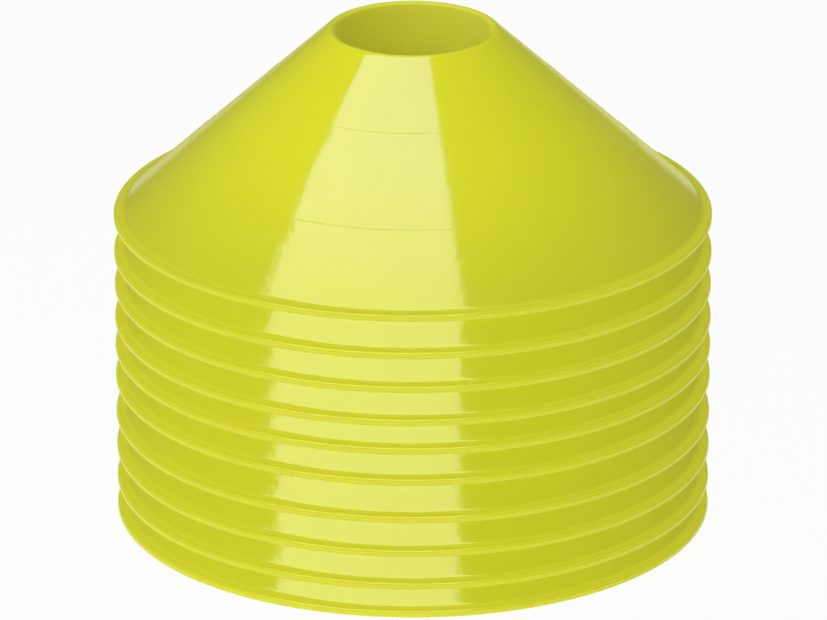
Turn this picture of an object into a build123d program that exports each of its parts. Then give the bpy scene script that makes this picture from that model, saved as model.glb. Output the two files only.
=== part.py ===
"""Nested set of soft sports marker cones: identical mouldings whose collars wedge into one another."""
import os
from math import atan2, cos, degrees, radians, sin, tan

from build123d import *

# One cone, in millimetres and degrees
RIM_DIAMETER = 190.5
HEIGHT = 62.5
HOLE_DIAMETER = 50.0
WALL = 1.6

# Flat rim that the cone stands on
RIM_WIDTH = 3.0
RIM_THICKNESS = 2.2
RIM_EDGE_ROUND = 0.9
RIM_ROOT_ROUND = 3.0
FOOT_ROUND = 2.0

# Rounded lip around the hole
LIP_WIDTH = 1.8
LIP_ROUND = 1.25

# Tapered collar under the lip, which plugs into the collar of the cone below
COLLAR_WALL = 1.2
COLLAR_TAPER = 7.75
COLLAR_OVERLAP = 6.0
NEST_CLEARANCE = 0.08

# Straight land inside the collar's lower end, where a pole passes
POLE_LAND = 3.0

# Raised rings around the skirt, each at its distance from the axis
RING_RADII = (48.0, 72.7)
RING_WIDTH = 3.0
RING_HEIGHT = 0.2

# How far each cone after the lowest one stands above its tightest fit in the cone below
NEST_SLACK = (0.0, 1.5, 1.8, 3.1, 0.9, 0.0, 1.5, 1.7, 2.9)

# The skirt's outer face is straight, from the root of the rim to the outside of the lip
rim_radius = RIM_DIAMETER / 2
hole_radius = HOLE_DIAMETER / 2
root_radius = rim_radius - RIM_WIDTH
lip_radius = hole_radius + LIP_WIDTH
slope = atan2(HEIGHT - RIM_THICKNESS, root_radius - lip_radius)
taper = radians(COLLAR_TAPER)


def skirt_outside(radius):
    """Height of the skirt's outer face at a distance from the axis."""
    return RIM_THICKNESS + (root_radius - radius) * tan(slope)


def skirt_inside(radius):
    """Height of the skirt's inner face, one wall in from the outer face."""
    return skirt_outside(radius) - WALL / cos(slope)


def collar_inside(height):
    """Radius of the collar's inner face, which tapers in below the hole."""
    return hole_radius - (HEIGHT - height) * tan(taper)


def collar_outside(height):
    """Radius of the collar's outer face, one collar wall out from the inner face."""
    return collar_inside(height) + COLLAR_WALL / cos(taper)


# The collar's faces are parallel, so its wall and taper set the tightest pitch of the stack
tight_pitch = (COLLAR_WALL + NEST_CLEARANCE) / sin(taper)
collar_end = HEIGHT - tight_pitch - max(NEST_SLACK) - COLLAR_OVERLAP
land_top = collar_end + POLE_LAND
land_radius = collar_inside(land_top)

# Where the skirt's inner face meets the ground and, higher up, the collar's outer face
foot_radius = skirt_inside(0) / tan(slope)
crown_radius = (collar_outside(0) + skirt_inside(0) * tan(taper)) / (1 + tan(slope) * tan(taper))

# Corners of the section, as distance from the axis and height, each with the radius that rounds it
section_corners = (
    ((foot_radius, 0), FOOT_ROUND),
    ((rim_radius, 0), RIM_EDGE_ROUND),
    ((rim_radius, RIM_THICKNESS), RIM_EDGE_ROUND),
    ((root_radius, RIM_THICKNESS), RIM_ROOT_ROUND),
    ((lip_radius, HEIGHT), LIP_ROUND),
    ((hole_radius, HEIGHT), LIP_ROUND),
    ((land_radius, land_top), 0),
    ((land_radius, collar_end), 0),
    ((collar_outside(collar_end), collar_end), 0),
    ((crown_radius, skirt_inside(crown_radius)), 0),
)

foot_heights = [0.0]
for slack in NEST_SLACK:
    foot_heights.append(foot_heights[-1] + tight_pitch + slack)

os.makedirs("parts", exist_ok=True)

for number, foot_height in enumerate(foot_heights, start=1):
    section_plane = Plane((0, 0, foot_height), x_dir=(1, 0, 0), z_dir=(0, -1, 0))
    with BuildPart() as cone:
        with BuildSketch(section_plane):
            with BuildLine():
                Polyline([corner for corner, _ in section_corners], close=True)
            make_face()
            for corner, rounding in section_corners:
                if rounding:
                    fillet(vertices().sort_by_distance(corner)[0], radius=rounding)
            with Locations([(radius, skirt_outside(radius)) for radius in RING_RADII]):
                Rectangle(RING_WIDTH, 2 * RING_HEIGHT, rotation=-degrees(slope))
        revolve(axis=Axis.Z)
    name = f"cone_{number:02d}"
    cone.part.label = name
    export_step(cone.part, f"parts/{name}.step")
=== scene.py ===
"""Looks of a nested stack of marker cones: lathed shells in yellow plastic, a pale studio, the camera."""
import math
import random

import bpy
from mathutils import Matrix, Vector


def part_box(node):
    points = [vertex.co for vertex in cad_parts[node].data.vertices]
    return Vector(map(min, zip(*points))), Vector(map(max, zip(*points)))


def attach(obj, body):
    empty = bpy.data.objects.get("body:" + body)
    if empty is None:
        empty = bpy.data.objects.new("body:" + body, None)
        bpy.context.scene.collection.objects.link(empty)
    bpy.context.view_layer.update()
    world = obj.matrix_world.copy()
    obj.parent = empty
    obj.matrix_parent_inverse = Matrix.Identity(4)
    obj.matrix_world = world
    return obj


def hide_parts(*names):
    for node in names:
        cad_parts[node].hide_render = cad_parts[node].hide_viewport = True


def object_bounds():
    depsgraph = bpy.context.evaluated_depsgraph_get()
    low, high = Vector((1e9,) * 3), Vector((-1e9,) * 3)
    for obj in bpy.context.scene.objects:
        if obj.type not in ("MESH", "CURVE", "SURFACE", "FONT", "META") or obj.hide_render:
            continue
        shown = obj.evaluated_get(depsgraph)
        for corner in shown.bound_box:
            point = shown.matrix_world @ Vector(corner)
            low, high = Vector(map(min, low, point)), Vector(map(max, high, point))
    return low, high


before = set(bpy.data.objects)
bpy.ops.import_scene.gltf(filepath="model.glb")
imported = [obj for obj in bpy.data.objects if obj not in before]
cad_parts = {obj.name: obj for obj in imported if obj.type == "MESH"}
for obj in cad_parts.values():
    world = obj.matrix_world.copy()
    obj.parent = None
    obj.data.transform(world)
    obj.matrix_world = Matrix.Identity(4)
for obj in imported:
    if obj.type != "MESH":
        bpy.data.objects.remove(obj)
cad_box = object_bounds()
scene = bpy.context.scene

# Section of one cone, in metres; the cones in model.glb give its width and height
HOLE_RADIUS = 0.0250
WALL = 0.0016
RIM_WIDTH = 0.0030
RIM_THICKNESS = 0.0022
RIM_EDGE_ROUND = 0.0009
RIM_SOLE_ROUND = 0.0008
RIM_ROOT_ROUND = 0.0030
FOOT_ROUND = 0.0020
LIP_WIDTH = 0.0018
LIP_ROUND = 0.00125
LIP_SHOULDER_ROUND = 0.0016
COLLAR_WALL = 0.0012
COLLAR_TAPER = math.radians(7.75)
COLLAR_DEPTH = 0.018592
COLLAR_END_ROUND = 0.00025
CROWN_ROUND = 0.0012
POLE_LAND = 0.0030
LAND_ROUND = 0.0120

# Raised rings: their distances from the axis, then the corners of one ring as distance up along the
# skirt, distance out from it, and rounding
RING_RADII = (0.0727, 0.0480)
RING_CORNERS = (
    (-0.0050, 0, 0.25),
    (0.0006, 0.00008, 0.10),
    (0.0015, 0.00008, 0.00015),
    (0.0017, 0, 0.00015),
)

# A soft moulding's rim is a little oval and wavy, while its crown stays true and its sole flat
OVALNESS = 0.00018
WAVINESS = 0.00016
WAVE_LOBES = (2, 3, 5)
WAVE_SIZES = (0.3, 1.0)
TRUE_RADIUS = HOLE_RADIUS * 1.3
SOLE_HEIGHT = 0.0003
FIRST_SEED = 41

# Fineness of the meshes
SEGMENTS = 160
ARC_STEP = math.radians(14)
SPAN = 0.0045
SUPPORT = 0.00025
SHORTEST_RUN = 4 * SUPPORT

# Colours of the plastic by zone, how much of two of them shows, and the tints of its gloss and glow
CROWN_YELLOW = (0.900, 0.900, 0.022, 1)
# Painted shade: the lower skirt is given a darker yellow than the crown
SKIRT_PAINTED_SHADE_YELLOW = (0.765, 0.768, 0.031, 1)
MOTTLE_YELLOW = (0.62, 0.66, 0.012, 1)
BORE_YELLOW = (0.900, 0.885, 0.055, 1)
# Painted shading: the rim and the level ledge get a tone of their own, picked by their upward tilt
LEDGE_PAINTED_SHADING_YELLOW = (0.830, 0.830, 0.030, 1)
# Painted glow: the rim's outer face is the brightest yellow
FACE_PAINTED_GLOW_YELLOW = (0.99, 0.985, 0.038, 1)
SCUFF_YELLOW = (0.84, 0.85, 0.13, 1)
MOTTLE_SHARE = 0.06
SCUFF_SHARE = 0.08
CROWN_GLOSS = (0.62, 0.62, 0.92, 1)
SKIRT_GLOSS = (1.0, 1.0, 0.57, 1)
EDGE_GLOW = (1.0, 1.0, 0.06, 1)

# Zones of the plastic: distances from the axis between which the crown passes into the lower skirt,
# distances in from the rim's edge, the width of the bore's border, and upward tilts of the surface
# Between these two distances the crown's yellow passes into the lower skirt's painted shade
CROWN_REACH = 0.056
SKIRT_REACH = 0.088
RIM_ZONE_START = 0.0022
RIM_ZONE_FULL = 0.0007
BORE_ZONE = 0.0006
# These tilts pick out the ledge for its painted shading and the rim's face for its painted glow
LEDGE_TILT = (0.78, 0.96)
FACE_TILT = (0.10, 0.50)

# How fast flow marks change along the radius, in noise units a metre, then the limits between which
# mottling, scuffs, satin and a glancing view go from none to full
FLOW_PACE = 6.0
MOTTLE_LIMITS = (0.36, 0.64)
SCUFF_LIMITS = (0.56, 0.68)
SATIN_LIMITS = (0.3, 0.7)
GLANCING_LIMITS = (0.80, 0.95)

# Roughness of the skin, then what mottling, the rim's face, the bore, scuffs and a glancing view add
SKIN_ROUGHNESS = (0.07, 0.095)
MOTTLE_ROUGHNESS = 0.02
FACE_ROUGHNESS = 0.38
BORE_ROUGHNESS = 0.80
SCUFF_ROUGHNESS = 0.12
GLANCING_ROUGHNESS = 0.22

# Light from all around, brighter on the left, and the backdrop that is seen in its place
WHITE = (1, 1, 1, 1)
AMBIENT_LEFT = 0.46
AMBIENT_RIGHT = 0.27
BACKDROP = 0.12

# Floor paper: its half size and colour, then the painted pool of white glow around the cones and its share
FLOOR_HALF = 6.0
PAPER_WHITE = (0.93, 0.93, 0.93, 1)
POOL_RADIUS = 0.68
POOL_CORE = 0.1
POOL_FALL = 1.5
POOL_SHARE = 0.92

# Ceiling panel, which hangs level over the left front
CEILING_PLACE = Vector((-0.455, -0.475, cad_box[1][2] + 1.83))
CEILING_WIDTH = 1.79
CEILING_DEPTH = 1.14
CEILING_RADIANCE = 3.25
CEILING_TINT = (0.94, 0.96, 1.12)

# Front panel, placed around the point that it faces
FRONT_AIM = Vector((0, 0, 0.06))
FRONT_AZIMUTH = math.radians(5)
FRONT_ELEVATION = math.radians(10)
FRONT_DISTANCE = 1.5
FRONT_WIDTH = 0.9
FRONT_DEPTH = 0.6
FRONT_RADIANCE = 1.2

# Camera, placed from the rim of the top cone
CAMERA_ELEVATION = math.radians(20.54)
CAMERA_DISTANCE = 2.381
CAMERA_SENSOR = 36.0
CAMERA_LENS = 325.7
CAMERA_FAR = 50.0
CAMERA_AIM = Vector((0.0002, 0, 0.0659))

cones = sorted(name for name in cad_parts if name.startswith("cone_"))
first_low, first_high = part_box(cones[0])
rim_radius = (first_high[0] - first_low[0]) / 2
height = first_high[2] - first_low[2]


def section():
    """Corners of a cone's section as (radius, height, rounding), from foot to rim, lip and collar."""
    root = rim_radius - RIM_WIDTH
    lip = HOLE_RADIUS + LIP_WIDTH
    slope = math.atan2(height - RIM_THICKNESS, root - lip)
    up = Vector((-math.cos(slope), math.sin(slope)))
    out = Vector((math.sin(slope), math.cos(slope)))

    def skirt_inside(radius):
        return RIM_THICKNESS + (root - radius) * math.tan(slope) - WALL / math.cos(slope)

    def collar_inside(drop):
        return HOLE_RADIUS - drop * math.tan(COLLAR_TAPER)

    collar_skin = COLLAR_WALL / math.cos(COLLAR_TAPER)
    collar_end = height - COLLAR_DEPTH
    land_radius = collar_inside(COLLAR_DEPTH - POLE_LAND)
    foot = skirt_inside(0) / math.tan(slope)
    crown = collar_inside(height) + collar_skin + skirt_inside(0) * math.tan(COLLAR_TAPER)
    crown /= 1 + math.tan(slope) * math.tan(COLLAR_TAPER)

    corners = [
        (foot, 0, FOOT_ROUND),
        (rim_radius, 0, RIM_SOLE_ROUND),
        (rim_radius, RIM_THICKNESS, RIM_EDGE_ROUND),
        (root, RIM_THICKNESS, RIM_ROOT_ROUND),
    ]
    for radius in RING_RADII:
        middle = Vector((radius, RIM_THICKNESS + (root - radius) * math.tan(slope)))
        for along, rise, rounding in RING_CORNERS:
            point = middle + up * along + out * rise
            corners.append((point.x, point.y, rounding))
    corners += [
        (lip, height, LIP_SHOULDER_ROUND),
        (HOLE_RADIUS, height, LIP_ROUND),
        (land_radius, collar_end + POLE_LAND, LAND_ROUND),
        (land_radius, collar_end, COLLAR_END_ROUND),
        (collar_inside(COLLAR_DEPTH) + collar_skin, collar_end, COLLAR_END_ROUND),
        (crown, skirt_inside(crown), CROWN_ROUND),
    ]
    return corners


def arcs(corners):
    """Points of a closed outline, with an arc at each corner."""
    outline = []
    for index, (x, y, rounding) in enumerate(corners):
        here = Vector((x, y))
        before = (Vector(corners[index - 1][:2]) - here).normalized()
        after = (Vector(corners[(index + 1) % len(corners)][:2]) - here).normalized()
        half = before.angle(after) / 2
        setback = rounding / math.tan(half)
        centre = here + (before + after).normalized() * (rounding / math.sin(half))
        start = here + before * setback - centre
        turn = start.angle_signed(here + after * setback - centre)
        steps = max(2, math.ceil(abs(turn) / ARC_STEP))
        for step in range(steps + 1):
            angle = -turn * step / steps
            cosine = math.cos(angle)
            sine = math.sin(angle)
            spoke = Vector((start.x * cosine - start.y * sine, start.x * sine + start.y * cosine))
            outline.append(centre + spoke)
    return outline


def spaced(outline):
    """The outline with support points at the ends of its straight runs and even spans along them."""
    points = []
    for here, there in zip(outline, outline[1:] + outline[:1]):
        points.append(here)
        gap = there - here
        length = gap.length
        if length < SHORTEST_RUN:
            continue
        points.append(here + gap * (SUPPORT / length))
        spans = math.ceil(length / SPAN)
        for step in range(1, spans):
            points.append(here + gap * (step / spans))
        points.append(there - gap * (SUPPORT / length))
    return points


def lathe(name, profile, foot_height, seed):
    """Turn the section into a shell, with the slight waves and ovalness of a soft moulding at its rim."""
    chance = random.Random(seed)
    start = chance.uniform(0, math.tau)
    waves = [(lobes, chance.uniform(0, math.tau), chance.uniform(*WAVE_SIZES)) for lobes in WAVE_LOBES]
    verts = []
    for step in range(SEGMENTS):
        angle = start + math.tau * step / SEGMENTS
        wave = sum(size * (1 + math.cos(lobes * angle + phase)) for lobes, phase, size in waves)
        wave /= 2 * len(WAVE_LOBES)
        for point in profile:
            softness = max(0.0, (point.x - TRUE_RADIUS) / (rim_radius - TRUE_RADIUS)) ** 2
            radius = point.x - OVALNESS * softness * wave
            rise = WAVINESS * softness * wave if point.y > SOLE_HEIGHT else 0.0
            verts.append((radius * math.cos(angle), radius * math.sin(angle), foot_height + point.y + rise))
    count = len(profile)
    faces = []
    for step in range(SEGMENTS):
        ring = step * count
        other = (step + 1) % SEGMENTS * count
        for index in range(count):
            after = (index + 1) % count
            faces.append((ring + index, other + index, other + after, ring + after))
    mesh = bpy.data.meshes.new(name)
    mesh.from_pydata(verts, [], faces)
    mesh.validate()
    mesh.update()
    mesh.shade_smooth()
    shell = bpy.data.objects.new(name, mesh)
    scene.collection.objects.link(shell)
    return shell


class Nodes:
    """Small helper that adds shader nodes and links or sets their inputs."""

    def __init__(self, tree):
        self.tree = tree
        tree.nodes.clear()

    def add(self, kind, inputs=None, **settings):
        """A new node; each input is a socket to link from or a value to set."""
        node = self.tree.nodes.new(kind)
        for key, value in settings.items():
            setattr(node, key, value)
        for key, value in (inputs or {}).items():
            if isinstance(value, bpy.types.NodeSocket):
                self.tree.links.new(value, node.inputs[key])
            else:
                node.inputs[key].default_value = value
        return node

    def maths(self, operation, first, second):
        return self.add("ShaderNodeMath", {0: first, 1: second}, operation=operation).outputs[0]

    def more(self, value, factor, amount):
        """The value, plus an amount that the factor scales."""
        return self.maths("ADD", value, self.maths("MULTIPLY", factor, amount))

    def noise(self, vector, scale, detail, roughness):
        node = self.add("ShaderNodeTexNoise", {"Vector": vector, "Scale": scale, "Detail": detail,
                                               "Roughness": roughness})
        return node.outputs["Fac"]

    def ramp(self, value, low, high, to_low=0.0, to_high=1.0):
        node = self.add("ShaderNodeMapRange", {"Value": value, "From Min": low, "From Max": high,
                                               "To Min": to_low, "To Max": to_high}, clamp=True)
        return node.outputs["Result"]

    def tint(self, factor, first, second):
        return self.add("ShaderNodeMix", {0: factor, 6: first, 7: second}, data_type="RGBA").outputs[2]


def yellow_plastic():
    """Semi-gloss, slightly translucent polyethylene with flow marks, fine peel and a scuffed rim."""
    material = bpy.data.materials.new("yellow_polyethylene_shell")
    material.use_nodes = True
    make = Nodes(material.node_tree)
    place = make.add("ShaderNodeTexCoord").outputs["Object"]
    axes = make.add("ShaderNodeSeparateXYZ", {0: place}).outputs
    flat = make.add("ShaderNodeCombineXYZ", {"X": axes["X"], "Y": axes["Y"]}).outputs[0]
    reach = make.add("ShaderNodeVectorMath", {0: flat}, operation="LENGTH").outputs["Value"]
    heading = make.add("ShaderNodeVectorMath", {0: flat}, operation="NORMALIZE").outputs["Vector"]
    heading_axes = make.add("ShaderNodeSeparateXYZ", {0: heading}).outputs
    normal = make.add("ShaderNodeNewGeometry").outputs["Normal"]
    upward = make.add("ShaderNodeSeparateXYZ", {0: normal}).outputs["Z"]

    # Zones: the lower skirt, the rim, the level ledge at the skirt's foot, the rim's outer face, the bore
    lower = make.ramp(reach, CROWN_REACH, SKIRT_REACH)
    rim = make.ramp(reach, rim_radius - RIM_ZONE_START, rim_radius - RIM_ZONE_FULL)
    level = make.maths("MULTIPLY", lower, make.ramp(upward, *LEDGE_TILT))
    ledge = make.maths("MAXIMUM", rim, level)
    face = make.maths("MULTIPLY", rim, make.ramp(upward, *FACE_TILT, 1.0, 0.0))
    bore = make.ramp(reach, HOLE_RADIUS, HOLE_RADIUS + BORE_ZONE, 1.0, 0.0)

    # Plastic flows outwards from the hole, so its marks are long along the radius and narrow around it
    flow_place = make.add("ShaderNodeCombineXYZ", {
        "X": heading_axes["X"], "Y": heading_axes["Y"],
        "Z": make.maths("MULTIPLY", reach, FLOW_PACE)}).outputs[0]
    flow = make.noise(flow_place, scale=9.0, detail=3.0, roughness=0.55)
    clouds = make.noise(place, scale=26.0, detail=3.0, roughness=0.5)
    mottle = make.more(make.maths("MULTIPLY", flow, 0.5), clouds, 0.5)
    mottle = make.ramp(mottle, *MOTTLE_LIMITS)
    scuffs = make.noise(place, scale=240.0, detail=4.0, roughness=0.65)
    rim_scuffs = make.maths("MULTIPLY", rim, make.ramp(scuffs, *SCUFF_LIMITS))
    peel = make.noise(place, scale=330.0, detail=2.0, roughness=0.5)
    satin = make.noise(place, scale=900.0, detail=2.0, roughness=0.6)

    # Colour: painted shade darkens the lower skirt, and a painted glow makes the rim's outer face the
    # brightest
    colour = make.tint(lower, CROWN_YELLOW, SKIRT_PAINTED_SHADE_YELLOW)
    colour = make.tint(make.maths("MULTIPLY", mottle, MOTTLE_SHARE), colour, MOTTLE_YELLOW)
    colour = make.tint(bore, colour, BORE_YELLOW)
    # Painted shading on the rim's top and the upward-facing ledge
    colour = make.tint(ledge, colour, LEDGE_PAINTED_SHADING_YELLOW)
    # Painted glow on the rim's outer face
    colour = make.tint(face, colour, FACE_PAINTED_GLOW_YELLOW)
    colour = make.tint(make.maths("MULTIPLY", rim_scuffs, SCUFF_SHARE), colour, SCUFF_YELLOW)

    # Roughness: a smooth skin, a matt bore and a dull rim face; at a glancing angle the skin's satin
    # scatters what it mirrors
    rough = make.ramp(satin, *SATIN_LIMITS, *SKIN_ROUGHNESS)
    rough = make.more(rough, mottle, MOTTLE_ROUGHNESS)
    rough = make.more(rough, face, FACE_ROUGHNESS)
    rough = make.more(rough, bore, BORE_ROUGHNESS)
    rough = make.more(rough, rim_scuffs, SCUFF_ROUGHNESS)
    glancing = make.add("ShaderNodeLayerWeight", {"Blend": 0.5}).outputs["Facing"]
    rough = make.more(rough, make.ramp(glancing, *GLANCING_LIMITS), GLANCING_ROUGHNESS)

    # Relief: a fine peel with a finer grain on it
    relief = make.add("ShaderNodeBump", {"Strength": 0.10, "Distance": 0.0004, "Height": peel}).outputs[0]
    relief = make.add("ShaderNodeBump", {"Strength": 0.06, "Distance": 0.00008, "Height": satin,
                                         "Normal": relief}).outputs[0]

    # The pigment under the skin warms the gloss, more so on the lower skirt than on the crown, and it
    # glows where the wall is seen edge on
    shader = make.add("ShaderNodeBsdfPrincipled", {
        "Base Color": colour, "Roughness": rough, "Normal": relief, "IOR": 1.5,
        "Specular IOR Level": 0.80, "Specular Tint": make.tint(lower, CROWN_GLOSS, SKIRT_GLOSS),
        "Sheen Weight": 1.0, "Sheen Roughness": 0.30, "Sheen Tint": EDGE_GLOW,
        "Subsurface Weight": 0.25, "Subsurface Radius": (1.0, 0.95, 0.25), "Subsurface Scale": 0.0025})
    make.add("ShaderNodeOutputMaterial", {"Surface": shader.outputs[0]})
    return material


def for_viewer(make, lighting, view):
    """One shader that lights the scene, and another one that the eye, reflections and glass see."""
    path = make.add("ShaderNodeLightPath").outputs
    seen = make.maths("MAXIMUM", path["Is Camera Ray"], path["Is Glossy Ray"])
    seen = make.maths("MAXIMUM", seen, path["Is Transmission Ray"])
    return make.add("ShaderNodeMixShader", {0: seen, 1: lighting, 2: view}).outputs[0]


def surroundings():
    """Soft light from all around, stronger from the left, with a dim backdrop to be seen in its place."""
    world = bpy.data.worlds.new("studio")
    world.use_nodes = True
    scene.world = world
    make = Nodes(world.node_tree)
    ray = make.add("ShaderNodeTexCoord").outputs["Generated"]
    across = make.add("ShaderNodeSeparateXYZ", {0: ray}).outputs["X"]
    shade = make.ramp(across, -1.0, 1.0, AMBIENT_LEFT, AMBIENT_RIGHT)
    ambient = make.add("ShaderNodeBackground", {"Color": WHITE, "Strength": shade}).outputs[0]
    backdrop = make.add("ShaderNodeBackground", {"Color": WHITE, "Strength": BACKDROP}).outputs[0]
    make.add("ShaderNodeOutputWorld", {"Surface": for_viewer(make, ambient, backdrop)})


def paper_floor():
    """White paper under the cones; to the eye and in reflections a painted pool of white glow lies around
    them and fades to grey far off.
    """
    mesh = bpy.data.meshes.new("floor")
    corners = [(-FLOOR_HALF, -FLOOR_HALF, 0), (FLOOR_HALF, -FLOOR_HALF, 0),
               (FLOOR_HALF, FLOOR_HALF, 0), (-FLOOR_HALF, FLOOR_HALF, 0)]
    mesh.from_pydata(corners, [], [(0, 1, 2, 3)])
    floor = bpy.data.objects.new("floor", mesh)
    scene.collection.objects.link(floor)
    paper = bpy.data.materials.new("floor_paper")
    paper.use_nodes = True
    make = Nodes(paper.node_tree)
    lit = make.add("ShaderNodeBsdfDiffuse", {"Color": PAPER_WHITE}).outputs[0]
    place = make.add("ShaderNodeTexCoord").outputs["Object"]
    away = make.add("ShaderNodeVectorMath", {0: place}, operation="LENGTH").outputs["Value"]
    pool = make.maths("DIVIDE", POOL_RADIUS, make.maths("MAXIMUM", away, POOL_CORE))
    fade = make.maths("POWER", make.maths("MINIMUM", pool, 1.0), POOL_FALL)
    # Painted pool of white glow, seen by the eye and in reflections, fading to grey far off
    glow = make.add("ShaderNodeEmission", {"Color": WHITE, "Strength": fade}).outputs[0]
    view = make.add("ShaderNodeMixShader", {0: POOL_SHARE, 1: lit, 2: glow}).outputs[0]
    make.add("ShaderNodeOutputMaterial", {"Surface": for_viewer(make, lit, view)})
    mesh.materials.append(paper)


def panel(name, place, target, width, depth, radiance, colour=(1, 1, 1), casts_shadow=True):
    """Rectangular lamp of an even radiance that faces a target."""
    light = bpy.data.lights.new(name, "AREA")
    light.shape = "RECTANGLE"
    light.size = width
    light.size_y = depth
    light.energy = radiance * math.pi * width * depth
    light.color = colour
    light.use_shadow = casts_shadow
    lamp = bpy.data.objects.new(name, light)
    scene.collection.objects.link(lamp)
    lamp.location = place
    lamp.rotation_euler = (target - place).to_track_quat("-Z", "Y").to_euler()


def lamps():
    """A wide ceiling panel without shadows, so that every cone mirrors it alike, and a front panel."""
    below = CEILING_PLACE - Vector((0, 0, 1))
    panel("ceiling_panel", CEILING_PLACE, below, CEILING_WIDTH, CEILING_DEPTH, CEILING_RADIANCE,
          CEILING_TINT, casts_shadow=False)
    flat = FRONT_DISTANCE * math.cos(FRONT_ELEVATION)
    front = FRONT_AIM + Vector((flat * math.sin(FRONT_AZIMUTH), -flat * math.cos(FRONT_AZIMUTH),
                                FRONT_DISTANCE * math.sin(FRONT_ELEVATION)))
    panel("front_panel", front, FRONT_AIM, FRONT_WIDTH, FRONT_DEPTH, FRONT_RADIANCE)


def photo_camera():
    """Camera at the photo's viewing angle: about twenty degrees up, from far off."""
    rim_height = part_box(cones[-1])[0][2] + RIM_THICKNESS / 2
    data = bpy.data.cameras.new("camera")
    data.sensor_width = CAMERA_SENSOR
    data.lens = CAMERA_LENS
    data.clip_end = CAMERA_FAR
    camera = bpy.data.objects.new("camera", data)
    scene.collection.objects.link(camera)
    camera.location = (0, -CAMERA_DISTANCE * math.cos(CAMERA_ELEVATION),
                       rim_height + CAMERA_DISTANCE * math.sin(CAMERA_ELEVATION))
    camera.rotation_euler = (CAMERA_AIM - camera.location).to_track_quat("-Z", "Y").to_euler()
    scene.camera = camera


plastic = yellow_plastic()
cone_profile = spaced(arcs(section()))
for number, node in enumerate(cones):
    shell = lathe(f"shell_{number + 1:02d}", cone_profile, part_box(node)[0][2], FIRST_SEED + number)
    shell.data.materials.append(plastic)
    # The cones don't mirror one another, so each shows the ceiling panel on its whole skirt
    shell.visible_glossy = False
    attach(shell, node)
    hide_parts(node)

surroundings()
paper_floor()
lamps()
photo_camera()
scene.view_settings.view_transform = "Standard"
